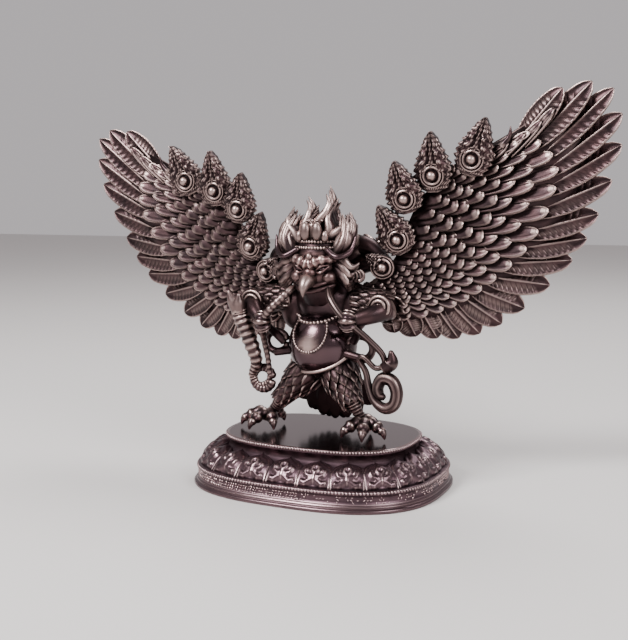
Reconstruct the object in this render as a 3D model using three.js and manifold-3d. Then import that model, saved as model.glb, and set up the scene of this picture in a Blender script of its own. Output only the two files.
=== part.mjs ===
// Garuda treading on a lotus plinth: a small cast and chased copper figure.
// Millimetres, +Z up. The origin is the middle of the plinth's underside. The figure faces -Y,
// so its own left side is +X.

import * as THREE from "three";
import { mergeVertices } from "three/addons/utils/BufferGeometryUtils.js";
import Module from "manifold-3d";

// Driving dimensions of the plinth
const FOOT_LENGTH = 101.4; // foot moulding, along X
const FOOT_DEPTH = 82.8; // foot moulding, along Y
const PLATE_LENGTH = 77.8; // polished plate under the claws, along X
const PLATE_DEPTH = 58.2; // polished plate, along Y
const BAND_LENGTH = 98.2; // upright band above the foot moulding, along X
const CORNER_POWER = 2.71; // 2 is an ellipse, more is squarer
const FOOT_HEIGHT = 2.7;
const BAND_HEIGHT = 3.9;
const BEAD_HEIGHT = 1.5;
const PETAL_HEIGHT = 6.2;
const NECK_HEIGHT = 4.1;
const PLATE_THICKNESS = 1.4;
const NECK_HOLLOW = 1.3; // how far the plain wall is drawn in below the plate
const PETAL_COUNT = 22;
const PETAL_SWELL = 2.3; // how far a petal stands out of its slope

// Driving dimensions of the figure
const FIGURE_HEIGHT = 135; // soles to the highest wing tip
const SEAT_GAP = 0.3; // between the claws and the plate
const FEATHER_THICKNESS = 1.5;
const WING_WEB = 2.6; // cast wall that backs the wing feathers
const WING_LEAN = THREE.MathUtils.degToRad(3.24); // the pair tips, own left wing up
const WING_TURN = THREE.MathUtils.degToRad(1.26);
const FEATHERS = 17; // in each row of a wing
const COVERT_ROWS = 4;
const COVERT_STEP = 1.3; // from the tips of one row down to the quills of the next

const PLINTH_HEIGHT =
  FOOT_HEIGHT + BAND_HEIGHT + BEAD_HEIGHT + PETAL_HEIGHT + NECK_HEIGHT + PLATE_THICKNESS;

// The figure is laid out on a grid of modules, measured from the middle of its soles.
const CANON = 135; // modules in its height
const MODULE = FIGURE_HEIGHT / CANON;
const SIDES = [1, -1];
const FRONT = new THREE.Vector3(0, -1, 0);
const UP = new THREE.Vector3(0, 0, 1);

const wasm = await Module();
wasm.setup();

const at = (x, y, z) => new THREE.Vector3(x, y, z).multiplyScalar(MODULE);
const mirrored = (side, points) => points.map(([x, y, z]) => [side * x, y, z]);

// Value of a list of keys spread evenly over 0 to 1.
function along(keys, t) {
  const place = THREE.MathUtils.clamp(t, 0, 1) * (keys.length - 1);
  const step = Math.min(Math.floor(place), keys.length - 2);
  return THREE.MathUtils.lerp(keys[step], keys[step + 1], place - step);
}

// Closed geometry to solid, turned right side out.
function solid(geometry) {
  geometry.deleteAttribute("normal");
  geometry.deleteAttribute("uv");
  const merged = mergeVertices(geometry, 1e-4);
  const vertProperties = merged.attributes.position.array;
  const triVerts = new Uint32Array(merged.index.array);
  const corner = (i) => new THREE.Vector3().fromArray(vertProperties, 3 * triVerts[i]);
  let volume = 0;
  for (let i = 0; i < triVerts.length; i += 3) {
    volume += corner(i).dot(corner(i + 1).cross(corner(i + 2)));
  }
  if (volume < 0) triVerts.reverse();
  return new wasm.Manifold(new wasm.Mesh({ numProp: 3, vertProperties, triVerts }));
}

// Skin over a row of rings with equal numbers of points. An end is a flat fan, or comes to a
// point where one is given.
function skin(rings, startPoint = null, endPoint = null) {
  const points = rings.flat();
  const size = rings[0].length;
  const faces = [];
  for (let r = 0; r + 1 < rings.length; r++) {
    for (let i = 0; i < size; i++) {
      const a = r * size + i;
      const b = r * size + ((i + 1) % size);
      faces.push(a, b, b + size, a, b + size, a + size);
    }
  }
  const close = (first, apex, flip) => {
    const fan = [];
    if (apex) {
      points.push(apex);
      for (let i = 0; i < size; i++) {
        fan.push([points.length - 1, first + ((i + 1) % size), first + i]);
      }
    } else {
      for (let i = 1; i + 1 < size; i++) fan.push([first, first + i + 1, first + i]);
    }
    for (const [a, b, c] of fan) faces.push(...(flip ? [a, c, b] : [a, b, c]));
  };
  close(0, startPoint, false);
  close((rings.length - 1) * size, endPoint, true);
  const geometry = new THREE.BufferGeometry().setFromPoints(points);
  geometry.setIndex(faces);
  return solid(geometry);
}

// Limb, strap or tendril along a smooth path through modules. Its half width follows the
// radii, and flat is its thickness as a share of its width, measured towards facing.
function limb(path, radii, { sides = 6, steps = 6, flat = 1, facing = FRONT } = {}) {
  const curve = new THREE.CatmullRomCurve3(
    path.map(([x, y, z]) => at(x, y, z)),
    false,
    "centripetal",
  );
  const rings = [];
  for (let i = 0; i <= steps; i++) {
    const t = i / steps;
    const centre = curve.getPoint(t);
    const tangent = curve.getTangent(t);
    const across = new THREE.Vector3().crossVectors(tangent, facing).normalize();
    const through = new THREE.Vector3().crossVectors(across, tangent).normalize();
    const radius = along(radii, t) * MODULE;
    rings.push(
      Array.from({ length: sides }, (_, k) => {
        const angle = (2 * Math.PI * (k + 0.5)) / sides;
        return centre
          .clone()
          .addScaledVector(across, radius * Math.cos(angle))
          .addScaledVector(through, radius * flat * Math.sin(angle));
      }),
    );
  }
  return skin(rings);
}

// Rounded mass: an ellipsoid at a place in modules.
function swell([x, y, z], [rx, ry, rz], across = 10, down = 7) {
  const ball = new THREE.SphereGeometry(1, across, down).rotateX(Math.PI / 2);
  ball.scale(rx * MODULE, ry * MODULE, rz * MODULE);
  const centre = at(x, y, z);
  return solid(ball.translate(centre.x, centre.y, centre.z));
}

// Boss turned about an axis that points forward: a disc with a dome on it.
function boss([x, y, z], radius, height, sides = 6) {
  const profile = [
    [0, -0.5],
    [1, -0.5],
    [1, 0.4],
    [0.5, 0.8],
    [0, 1],
  ].map(([r, h]) => new THREE.Vector2(r * radius * MODULE, h * height * MODULE));
  const turned = new THREE.LatheGeometry(profile, sides).rotateX(Math.PI);
  const centre = at(x, y, z);
  return solid(turned.translate(centre.x, centre.y, centre.z));
}

// Wing surface: an upright sheet that falls back as it goes out and comes forward as it rises.
const WING_START = 7.83;
const WING_BACK = 0.208;
const WING_FORWARD = 0.151;
const WING_PIVOT = at(0, 5, 55);
const WING_POSE = new THREE.Matrix4()
  .makeRotationZ(WING_TURN)
  .multiply(new THREE.Matrix4().makeRotationY(-WING_LEAN));

// Point of a wing: across and up in modules on its sheet, proud in mm in front of it.
function wingPoint(side, across, up, proud) {
  const back = WING_START + WING_BACK * across - WING_FORWARD * up;
  const point = at(side * across, back, up).addScaledVector(FRONT, proud);
  return point.sub(WING_PIVOT).applyMatrix4(WING_POSE).add(WING_PIVOT);
}

// Arcs of the wing on its sheet, each from the leading edge round to the body.
const arc = (points) =>
  new THREE.SplineCurve(points.map(([across, up]) => new THREE.Vector2(across, up)));
const TIP_ARC = arc([
  [91.5, 126.5],
  [110.5, 127.3],
  [114.2, 107.4],
  [104.9, 81.2],
  [94, 63.1],
  [74, 44.4],
  [55.6, 35.6],
  [38.4, 35.5],
  [22.6, 38.8],
]);
const COVERT_ARC = arc([
  [81, 112.6],
  [91, 98],
  [81, 73],
  [62, 55.5],
  [45, 47],
  [25, 44],
]);
const LEADING_ARC = arc([
  [50, 100],
  [38, 86],
  [31, 71],
  [25, 64],
  [17, 61],
  [7, 61],
]);

// A feather's edge across its width: the gap beside it, the tip, a shoulder.
const EDGE = [0, 1, 0.86];
const ROW_GROWTH = 1.2; // rows of coverts grow longer outwards
const COVERT_GAP = 0.42; // depth of the gap between coverts, as a share of their row
const PRIMARY_GAP = 0.46; // depth of the gap between primaries, as a share of their length
const CROWN = 0.7; // tip of a feather in front of the gap beside it, mm
const PRIMARY_SINK = 0.9; // primaries lie this far behind the coverts, mm

// A wing without its jewels, in one skin. Each section runs from the leading edge over the rows
// of coverts, stepping down at each row of tips, to the primaries, and returns along the back.
function plumage(side) {
  const columns = FEATHERS * EDGE.length;
  const sections = Array.from({ length: columns + 1 }, (_, column) => {
    const t = column / columns;
    const start = LEADING_ARC.getPoint(t);
    const middle = COVERT_ARC.getPoint(t);
    const end = TIP_ARC.getPoint(t);
    const place = (from, to, share, proud) => {
      const spot = from.clone().lerp(to, share);
      return wingPoint(side, spot.x, spot.y, proud);
    };
    const edgeOf = (row) => EDGE[(column + 2 * row) % EDGE.length];
    const front = Array.from({ length: COVERT_ROWS }, (_, row) => {
      const foot = (row / COVERT_ROWS) ** ROW_GROWTH;
      const tips = ((row + 1) / COVERT_ROWS) ** ROW_GROWTH;
      const edge = edgeOf(row);
      const share = tips - (1 - edge) * COVERT_GAP * (tips - foot);
      const floor = row + 1 < COVERT_ROWS ? 0 : -PRIMARY_SINK;
      return [
        place(start, middle, share, COVERT_STEP + CROWN * (edge - 1)),
        place(start, middle, share, floor),
      ];
    }).flat();
    const edge = edgeOf(COVERT_ROWS);
    const reach = 1 - (1 - edge) * PRIMARY_GAP;
    const proud = CROWN * (edge - 0.5) - PRIMARY_SINK;
    return [
      place(middle, end, 0, -WING_WEB),
      place(start, end, 0, -WING_WEB),
      place(start, end, 0, 0),
      ...front,
      place(middle, end, reach, proud),
      place(middle, end, reach, -PRIMARY_SINK - FEATHER_THICKNESS),
    ];
  });
  return skin(sections);
}

// The jewels on the leading edge: across, up, lean of the flame in degrees, height.
const JEWELS = [
  [61.2, 103.2, 21, 15.6],
  [46.5, 98.3, 1, 16],
  [35.6, 90.3, -12, 14.5],
  [31.5, 75.1, -26, 14.8],
  [24.9, 64.8, -50, 8],
];
const FLAME_OUTLINE = [
  [-0.35, 0.55],
  [0.05, 1],
  [0.45, 0.9],
];
const FLAME_WIDTH = 13;
const JEWEL_PROUD = 2.2; // flame plaque in front of the wing sheet
const ORB_RADIUS = 4.2;

function jewel(side, [across, up, lean, height]) {
  const angle = THREE.MathUtils.degToRad(lean);
  const place = (h, offset, proud) =>
    wingPoint(
      side,
      across + h * height * Math.sin(angle) + offset * Math.cos(angle),
      up + h * height * Math.cos(angle) - offset * Math.sin(angle),
      proud,
    );
  const rings = FLAME_OUTLINE.map(([h, share]) => [
    place(h, (-share * FLAME_WIDTH) / 2, 0.6),
    place(h, 0, JEWEL_PROUD),
    place(h, (share * FLAME_WIDTH) / 2, 0.6),
    place(h, 0, -WING_WEB / 2),
  ]);
  const seat = place(0, 0, JEWEL_PROUD).divideScalar(MODULE);
  const orb = boss([seat.x, seat.y, seat.z], ORB_RADIUS, 3.2);
  return [skin(rings, null, place(1.02, 1.2, 0.4)), orb];
}

function wing(side) {
  return [plumage(side), ...JEWELS.flatMap((stone) => jewel(side, stone))];
}

// Trunk: pot belly over a low belt, chest, and the shoulders that rise to carry the wings.
function trunk() {
  const belt = Array.from({ length: 5 }, (_, i) => {
    const angle = Math.PI * (-0.1 + (1.2 * i) / 4);
    return [12.6 * Math.cos(angle), -1 - 11.2 * Math.sin(angle), 31.5 - 5 * Math.sin(angle)];
  });
  return [
    swell([0, -0.5, 37], [13.4, 12.8, 12.8], 12, 8),
    swell([0, 1.5, 53], [12, 9, 11], 7, 5),
    swell([0, 3, 27], [10.5, 8, 7], 7, 4),
    limb(belt, [1.1, 1.4, 1.1], { sides: 4, steps: 8, facing: UP }),
    ...SIDES.flatMap((side) => [
      swell([side * 12.5, 1, 49], [6.5, 4.5, 9], 6, 4),
      limb(mirrored(side, [[10, 2, 55], [14, 5, 64], [15, 6.5, 75]]), [5.5, 7, 3], { steps: 3, sides: 6 }),
    ]),
  ];
}

// Arm: bent, with a spiral disc on the armlet and a fist closed round the snake.
const FISTS = { 1: [17.6, -16, 47], [-1]: [18.7, -16, 45] };
function arm(side) {
  const [fx, fy, fz] = FISTS[side];
  return [
    limb(mirrored(side, [[13, 1, 57], [22, 0, 55], [29, -4, 51.5]]), [5, 5.4, 5.2], { steps: 2, sides: 6 }),
    limb(mirrored(side, [[29.5, -4, 51.5], [25, -11, 49], [fx + 1, fy + 1, fz]]), [5, 3.4, 2.6], {
      steps: 2,
      sides: 5,
    }),
    boss([side * 27.5, -9.5, 52.5], 3.9, 2),
    limb(mirrored(side, [[fx, fy + 1, fz + 2.6], [fx, fy - 0.6, fz], [fx, fy + 1, fz - 2.6]]), [2.4, 3.2, 2.2], {
      steps: 2,
      sides: 5,
    }),
  ];
}

// Snake held in the beak: over each fist, then down its own side.
function snakes() {
  const left = [
    [7, -11, 59],
    [10, -15.5, 55],
    [14.5, -17.5, 50],
    [18.2, -17.2, 46.5],
    [24.3, -12, 39.5],
    [28.8, -9, 33.5],
    [29, -8, 29.6],
    [25.6, -8, 28.4],
    [20.4, -8, 32.4],
    [18.4, -7, 31],
    [21, -7, 26.5],
    [22.4, -7.5, 21.5],
    [25, -8, 15.6],
    [29.6, -8.5, 12.6],
    [34, -8.5, 14.6],
    [35.2, -8, 20],
    [32.6, -8, 25.2],
    [28, -7.5, 25.4],
    [25.6, -7.5, 21.4],
    [27.2, -7.5, 17.4],
    [30, -7.5, 17.4],
  ];
  const right = [
    [-7, -11, 59],
    [-10.5, -15.5, 54.5],
    [-15.5, -17.5, 49],
    [-19, -16, 44],
    [-20.5, -11, 36],
    [-20.5, -8, 27.5],
    [-21.5, -6, 19.6],
    [-26, -6, 17.6],
    [-28.2, -7, 21.6],
    [-25.4, -9, 27.5],
    [-28.6, -11, 38],
    [-32.6, -12.5, 49],
    [-33.8, -13.5, 54],
  ];
  return [
    limb(left, [1.5, 1.7, 1.6, 1.4, 1.2, 1.5, 2.1, 2.2, 2, 1.1], { sides: 4, steps: 24 }),
    limb(right, [1.4, 1.6, 1.5, 1.3, 1.4, 1.5, 1.9, 2.4, 1.2], { sides: 4, steps: 17 }),
    limb([[28.5, -8, 28], [32, -8, 31], [32, -9, 35.8]], [2.4, 2.8, 0.7], { steps: 2, sides: 5 }),
  ];
}

// Loops of scarf at the waist, one on each side, tied into the belt.
function scarf() {
  const loop = (x, z, wide, high) => {
    const path = Array.from({ length: 8 }, (_, i) => {
      const angle = Math.PI * (1 + (2 * i) / 7.6);
      return [x + wide * Math.cos(angle) * Math.sign(x), -4, z + high * Math.sin(angle)];
    });
    return limb(path, [1.8, 1.6], { sides: 4, steps: 8, flat: 1.2 });
  };
  const knot = ([x, z], side) =>
    limb(
      mirrored(side, [[x - 3, -4, z - 8], [x, -7, z - 4], [x + 1, -13, z]]),
      [1.8, 1.4],
      { steps: 2, sides: 4 },
    );
  return [
    loop(16.4, 35, 5.2, 4.4),
    loop(-18.2, 35.6, 4.6, 3.9),
    knot([17.5, 45], 1),
    knot([18, 43.5], -1),
    ...SIDES.map((side) =>
      limb(mirrored(side, [[10, -5, 33], [19, -6, 31.4]]), [1.8, 1.6], { steps: 1, sides: 4 }),
    ),
  ];
}

// Leg: thigh in two tiers of plumes, bare tarsus, and a foot of four hooked claws on the plate.
const LEGS = {
  1: { hip: [5.5, 0, 27], knee: [13.5, -5, 15.5], ankle: [19, -2, 4], turn: 20 },
  [-1]: { hip: [-4.5, 0, 26], knee: [-15.6, -4, 14], ankle: [-23.8, -1, 4], turn: -8 },
};
const TOES = [-52, -4, 44, 168]; // spread round the ankle, degrees from the front
const TOE_REACH = [12, 13.5, 11.5, 8.5];
const TOE_KNUCKLE = 5.2;

function leg(side) {
  const { hip, knee, ankle, turn } = LEGS[side];
  const toes = TOES.map((spread, i) => {
    const angle = THREE.MathUtils.degToRad(turn + spread);
    const reach = TOE_REACH[i];
    const step = (share, z) => [
      ankle[0] + share * reach * Math.sin(angle),
      ankle[1] - share * reach * Math.cos(angle),
      z,
    ];
    return limb(
      [step(0.05, 3.6), step(0.35, TOE_KNUCKLE), step(0.68, 3.6), step(0.9, 2.3), step(1, 0.25)],
      [1.9, 1.9, 1.6, 1.3, 0.6],
      { steps: 3, sides: 4, facing: UP },
    );
  });
  return [
    limb([hip, knee], [8.4, 7.8, 5.6, 6, 3.4], { steps: 4, sides: 6 }),
    limb([knee, ankle], [3.4, 2.2, 2.1], { steps: 2, sides: 5 }),
    ...toes,
  ];
}

// Tail fan behind the legs, its scalloped end just above the plate.
const TAIL_FEATHERS = 6;
const TAIL_SPREAD = 100; // degrees
const TAIL_LENGTH = 25.5;

function tail() {
  const reaches = [0.9, 1, 1]; // gap, shoulder, shoulder
  const columns = TAIL_FEATHERS * reaches.length;
  const sections = Array.from({ length: columns + 1 }, (_, column) => {
    const share = column / columns - 0.5;
    const angle = THREE.MathUtils.degToRad(share * TAIL_SPREAD);
    const reach = TAIL_LENGTH * reaches[column % reaches.length] * (1 - 0.5 * share * share);
    const spot = (t, y) => at(t * reach * Math.sin(angle), y, 28 - t * reach * Math.cos(angle));
    return [spot(0.1, 5), spot(0.6, 10), spot(1, 11.6), spot(1, 13), spot(0.1, 10)];
  });
  return [skin(sections)];
}

// Head: skull, hooked beak, brows, eyes, horns and a five-leaf crown.
function head() {
  return [
    limb([[0, -1, 52], [0, -4, 61], [0, -3.4, 69], [0, -2, 76]], [6.5, 9, 9.6, 9], { steps: 3, sides: 8 }),
    limb([[0, -9, 65.5], [0, -16.6, 63.6], [0, -19.8, 60.4], [0, -19.6, 56]], [5, 4.4, 2.6, 0.4], {
      steps: 3,
      sides: 6,
      facing: UP,
    }),
    limb([[-9.6, -7.6, 69], [-4.8, -12.4, 70], [0, -12.6, 68.8], [4.8, -12.4, 70], [9.6, -7.6, 69]], [1.2, 2.1, 1.2], {
      steps: 4,
      sides: 4,
    }),
    limb([[-8, -8.5, 60.5], [0, -14, 58.6], [8, -8.5, 60.5]], [1.3, 2, 1.3], { steps: 4, sides: 4 }),
    ...SIDES.flatMap((side) => [
      swell([side * 4.8, -11.4, 65.4], [2.4, 1.8, 1.7], 6, 4),
      limb(
        mirrored(side, [[5.5, -10, 73.4], [11.3, -12, 70.4], [15.4, -9, 72.6], [17, -7, 78.6]]),
        [1.3, 1.2, 1.1, 0.5],
        { steps: 5, sides: 3 },
      ),
    ]),
    limb([[0, -9.6, 72], [0, -11.6, 79], [0, -8.4, 86]], [4, 4.8, 0.8], { steps: 3, sides: 6, flat: 0.6 }),
  ];
}

// Hair: a crest that ends in flames, a mass swept up on either side of the crown, and a mane
// curled over the ears. Flame tips are across and up in modules.
const FLAMES = [
  [-16.4, 83],
  [-12.4, 89.4],
  [-6.4, 93.4],
  [3, 97.6],
  [6.8, 92.6],
  [11.4, 87.4],
  [15, 82.4],
];
const CREST_ROOT = [0, 70];
const CREST_VALLEY = 0.8; // valley between two flames, as a share of their reach

function hair() {
  const tips = [[-13, 76], ...FLAMES, [13, 76]];
  const rim = tips.flatMap((tip, i) => {
    if (i === 0) return [tip];
    const valley = tip.map((v, axis) =>
      THREE.MathUtils.lerp(CREST_ROOT[axis], (v + tips[i - 1][axis]) / 2, CREST_VALLEY + 0.08),
    );
    return [valley, tip];
  });
  const crest = skin(
    rim.map(([x, z]) => {
      const spot = (share, y) => {
        const [px, pz] = [x, z].map((v, axis) => THREE.MathUtils.lerp(CREST_ROOT[axis], v, share));
        return at(px, y, pz);
      };
      return [spot(0.3, -7.5), spot(0.72, -6), spot(1, 0.5), spot(0.72, 6.5), spot(0.3, 7)];
    }),
  );
  const swept = SIDES.map((side) =>
    limb(
      mirrored(side, [[9.5, -8.6, 71], [12.4, -7.6, 77], [12.4, -5, 83], [9.4, -3, 89]]),
      [1.6, 4.4, 3.6, 0.3],
      { steps: 3, sides: 5 },
    ),
  );
  const mane = SIDES.map((side) =>
    limb(mirrored(side, [[8, -4, 67], [13.4, -4.6, 65.4], [17.6, -3, 63.6]]), [4, 4.8, 3], {
      steps: 2,
      sides: 6,
    }),
  );
  return [crest, ...swept, ...mane];
}

// One casting: everything is joined, and air trapped between feathers is filled with metal.
function figure() {
  const pieces = [
    ...SIDES.flatMap((side) => [...wing(side), ...arm(side), ...leg(side)]),
    ...trunk(),
    ...snakes(),
    ...scarf(),
    ...tail(),
    ...head(),
    ...hair(),
  ];
  const SMOOTHING = 0.12;
  const joined = wasm.Manifold.union(pieces).simplify(SMOOTHING);
  return joined.decompose().reduce((a, b) => (b.volume() > a.volume() ? b : a));
}

// Level of the plinth: a rounded rectangle with the given half length and half depth.
const RING_POINTS = 32;
function level(halfLength, halfDepth, z, angle) {
  const bend = (v) => Math.sign(v) * Math.abs(v) ** (2 / CORNER_POWER);
  return new THREE.Vector3(halfLength * bend(Math.cos(angle)), halfDepth * bend(Math.sin(angle)), z);
}

function plinth() {
  const difference = FOOT_LENGTH - FOOT_DEPTH;
  const bandTop = FOOT_HEIGHT + BAND_HEIGHT;
  const petalFoot = bandTop + BEAD_HEIGHT;
  const neckFoot = petalFoot + PETAL_HEIGHT;
  const neckTop = neckFoot + NECK_HEIGHT;
  const step = (FOOT_LENGTH - BAND_LENGTH) / 2;
  const foot = [
    [FOOT_LENGTH, 0],
    [FOOT_LENGTH, 0.5 * FOOT_HEIGHT],
    [FOOT_LENGTH - step, 0.62 * FOOT_HEIGHT],
    [FOOT_LENGTH - step, FOOT_HEIGHT],
    [BAND_LENGTH, FOOT_HEIGHT],
    [BAND_LENGTH, bandTop],
    [BAND_LENGTH + step, bandTop + 0.3 * BEAD_HEIGHT],
    [BAND_LENGTH + step, bandTop + 0.7 * BEAD_HEIGHT],
    [BAND_LENGTH - step, petalFoot],
  ].map(([length, z]) => [length / 2, (length - difference) / 2, z]);
  const wall = [
    [PLATE_LENGTH - NECK_HOLLOW, neckFoot],
    [PLATE_LENGTH - 2 * NECK_HOLLOW, neckFoot + 0.4 * NECK_HEIGHT],
    [PLATE_LENGTH - 0.7 * NECK_HOLLOW, neckTop],
    [PLATE_LENGTH, neckTop + 0.3 * PLATE_THICKNESS],
    [PLATE_LENGTH, PLINTH_HEIGHT],
  ].map(([length, z]) => [length / 2, (length - PLATE_LENGTH + PLATE_DEPTH) / 2, z]);
  const body = skin(
    [...foot, ...wall].map(([halfLength, halfDepth, z]) =>
      Array.from({ length: RING_POINTS }, (_, i) =>
        level(halfLength, halfDepth, z, (2 * Math.PI * (i + 0.5)) / RING_POINTS),
      ),
    ),
  );
  return wasm.Manifold.union([body, ...petals(foot.at(-1), wall[0])]).simplify(0.02);
}

// Lotus petals spaced evenly round the slope between the beaded rim and the plain wall.
function petals(low, high) {
  const samples = 720;
  const around = (share) => {
    const angle = 2 * Math.PI * share;
    return [level(...low, angle), level(...high, angle)];
  };
  const walk = [0];
  for (let i = 1; i <= samples; i++) {
    const [a] = around((i - 1) / samples);
    const [b] = around(i / samples);
    walk.push(walk[i - 1] + a.distanceTo(b));
  }
  const pitch = walk[samples] / PETAL_COUNT;
  return Array.from({ length: PETAL_COUNT }, (_, i) => {
    const wanted = (i + 0.5) * pitch;
    const share = walk.findIndex((w) => w >= wanted) / samples;
    const [foot, top] = around(share);
    const [before] = around(share - 1 / samples);
    const [after] = around(share + 1 / samples);
    const across = after.sub(before).normalize();
    const rise = top.clone().sub(foot);
    const out = new THREE.Vector3().crossVectors(across, rise).normalize();
    const ring = (t, half) => {
      const centre = foot.clone().addScaledVector(rise, t);
      const spots = [
        [-1, -0.5],
        [0, 1],
        [1, -0.5],
      ];
      return spots.map(([side, lift]) =>
        centre
          .clone()
          .addScaledVector(across, (side * half * pitch) / 2)
          .addScaledVector(out, lift * PETAL_SWELL),
      );
    };
    const tip = foot.clone().addScaledVector(rise, 1.08).addScaledVector(out, 0.35 * PETAL_SWELL);
    return skin([ring(0.04, 0.8), ring(0.5, 0.98)], null, tip);
  });
}

function casting(name, shape, color, roughness, metalness) {
  const { vertProperties, triVerts } = shape.getMesh();
  const geometry = new THREE.BufferGeometry();
  geometry.setAttribute("position", new THREE.BufferAttribute(vertProperties, 3));
  geometry.setIndex(new THREE.BufferAttribute(triVerts, 1));
  geometry.computeVertexNormals();
  const material = new THREE.MeshStandardMaterial({ color, roughness, metalness });
  const mesh = new THREE.Mesh(geometry, material);
  mesh.name = name;
  return mesh;
}

const statue = new THREE.Group();
statue.add(casting("lotus_plinth", plinth(), 0x6b4a4c, 0.32, 0.9));
const garuda = casting("garuda_figure", figure(), 0x5b4340, 0.38, 0.9);
garuda.position.z = PLINTH_HEIGHT + SEAT_GAP;
statue.add(garuda);

export default statue;
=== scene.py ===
# An antiqued copper garuda on a lotus plinth: two castings, a plain floor and soft light.
import math

import bpy
import numpy as np
from mathutils import Matrix, Vector
from mathutils.bvhtree import BVHTree


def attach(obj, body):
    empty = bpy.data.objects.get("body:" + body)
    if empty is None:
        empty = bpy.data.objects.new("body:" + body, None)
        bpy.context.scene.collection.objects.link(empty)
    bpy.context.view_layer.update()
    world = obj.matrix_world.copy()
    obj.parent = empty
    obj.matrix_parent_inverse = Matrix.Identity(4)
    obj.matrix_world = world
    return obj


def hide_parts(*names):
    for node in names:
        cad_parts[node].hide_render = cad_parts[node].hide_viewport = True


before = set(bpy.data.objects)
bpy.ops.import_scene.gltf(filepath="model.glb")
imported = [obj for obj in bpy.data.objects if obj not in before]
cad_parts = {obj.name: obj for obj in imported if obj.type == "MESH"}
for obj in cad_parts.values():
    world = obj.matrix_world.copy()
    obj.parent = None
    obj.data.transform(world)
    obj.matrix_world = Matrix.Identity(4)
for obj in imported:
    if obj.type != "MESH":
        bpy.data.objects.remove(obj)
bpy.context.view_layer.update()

# Camera: 25 degrees round to the figure's own left and 7 above level, about 40 cm away.
# A 56 mm lens fills the picture as the photograph does.
TURN, RISE, ROLL = (math.radians(a) for a in (25.29, 7.09, -0.11))
camera_data = bpy.data.cameras.new("camera")
camera_data.lens = 56.25
camera_data.sensor_width = 36
camera = bpy.data.objects.new("camera", camera_data)
bpy.context.scene.collection.objects.link(camera)
bpy.context.scene.camera = camera
back = Vector((math.sin(TURN) * math.cos(RISE), -math.cos(TURN) * math.cos(RISE), math.sin(RISE)))
camera.location = (0.16459, -0.35708, 0.11364)
camera.rotation_euler = (
    (-back).to_track_quat("-Z", "Y") @ Matrix.Rotation(ROLL, 3, "Z").to_quaternion()
).to_euler()


# Plinth: one casting in copper alloy, closed below. An oval foot with a chased band, a ring of
# lotus petals and a drawn-in neck carry a polished plate. Cast by lost wax, chased and antiqued.
MM = 0.001
FOOT = (50.7, 41.25)  # half length and half depth of each level
BAND = (49.1, 39.8)
PLATE = (38.9, 29.1)
CORNER = 2.71  # 2 is an ellipse, more is squarer
PETALS = 22
PLATE_TOP = 19.8


def node(tree, kind, inputs=None, **settings):
    """Adds a node with its settings; an input is a value or the output that feeds it."""
    made = tree.nodes.new(kind)
    for word, value in settings.items():
        setattr(made, word, value)
    for word, value in (inputs or {}).items():
        if isinstance(value, bpy.types.NodeSocket):
            tree.links.new(value, made.inputs[word])
        else:
            made.inputs[word].default_value = value
    return made


def linear(hex_colour):
    """An sRGB hex colour as the linear value that a shader takes."""
    parts = [int(hex_colour[i : i + 2], 16) / 255 for i in (0, 2, 4)]
    return [c / 12.92 if c <= 0.04045 else ((c + 0.055) / 1.055) ** 2.4 for c in parts] + [1]


# Antiqued cast copper: dipped dark, then rubbed back, so recesses stay near black and the
# edges show pinkish metal. The attributes say where it is sheltered, sharp, polished or red.
# The pale rubbed colour also serves for painted highlights, where a casting marks them.
def copper(name, body, rubbed_and_highlight, warm, polished, sunk):
    """Antiqued copper: its colours in sRGB hex, mixed by the attributes that a casting carries."""
    made = bpy.data.materials.new(name)
    made.use_nodes = True
    tree = made.node_tree
    tree.nodes.clear()
    mark = {
        word: node(tree, "ShaderNodeAttribute", attribute_name=word).outputs["Fac"]
        for word in ("recess", "edge", "polish", "red")
    }
    place = node(tree, "ShaderNodeTexCoord").outputs["Object"]
    mottle = node(tree, "ShaderNodeTexNoise", {"Vector": place, "Scale": 160, "Detail": 4})  # 6 mm
    grit = node(tree, "ShaderNodeTexNoise", {"Vector": place, "Scale": 2200, "Detail": 2})  # 0.5 mm
    uneven = node(tree, "ShaderNodeMapRange", {0: mottle.outputs[0], 1: 0.35, 2: 0.68, 3: 0.0, 4: 0.55})
    colour = node(
        tree, "ShaderNodeMix", {0: uneven.outputs[0], 6: linear(body), 7: linear(warm)}, data_type="RGBA"
    ).outputs[2]
    colour = node(
        tree, "ShaderNodeMix", {0: mark["red"], 6: colour, 7: linear("8c6c6a")}, data_type="RGBA"
    ).outputs[2]
    for share, tint in ((mark["polish"], polished), (mark["edge"], rubbed_and_highlight), (mark["recess"], sunk)):
        colour = node(
            tree, "ShaderNodeMix", {0: share, 6: colour, 7: linear(tint)}, data_type="RGBA"
        ).outputs[2]
    matt = node(tree, "ShaderNodeMapRange", {0: mark["polish"], 1: 0.0, 2: 1.0, 3: 0.36, 4: 0.17})
    dull = node(
        tree, "ShaderNodeMath", {0: mark["recess"], 1: 0.3, 2: matt.outputs[0]}, operation="MULTIPLY_ADD"
    )
    bite = node(tree, "ShaderNodeMapRange", {0: mark["polish"], 1: 0.0, 2: 1.0, 3: 0.5, 4: 0.06})
    bump = node(
        tree,
        "ShaderNodeBump",
        {"Strength": bite.outputs[0], "Distance": 0.00008, "Height": grit.outputs[0]},
    )
    shader = node(
        tree,
        "ShaderNodeBsdfPrincipled",
        {"Base Color": colour, "Metallic": 1.0, "Roughness": dull.outputs[0], "Normal": bump.outputs[0]},
    )
    node(tree, "ShaderNodeOutputMaterial", {"Surface": shader.outputs[0]})
    return made


plinth_copper = copper("antiqued_copper_purple", "503f45", "e8cac8", "765c63", "6e5a5c", "3a2d32")


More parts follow.
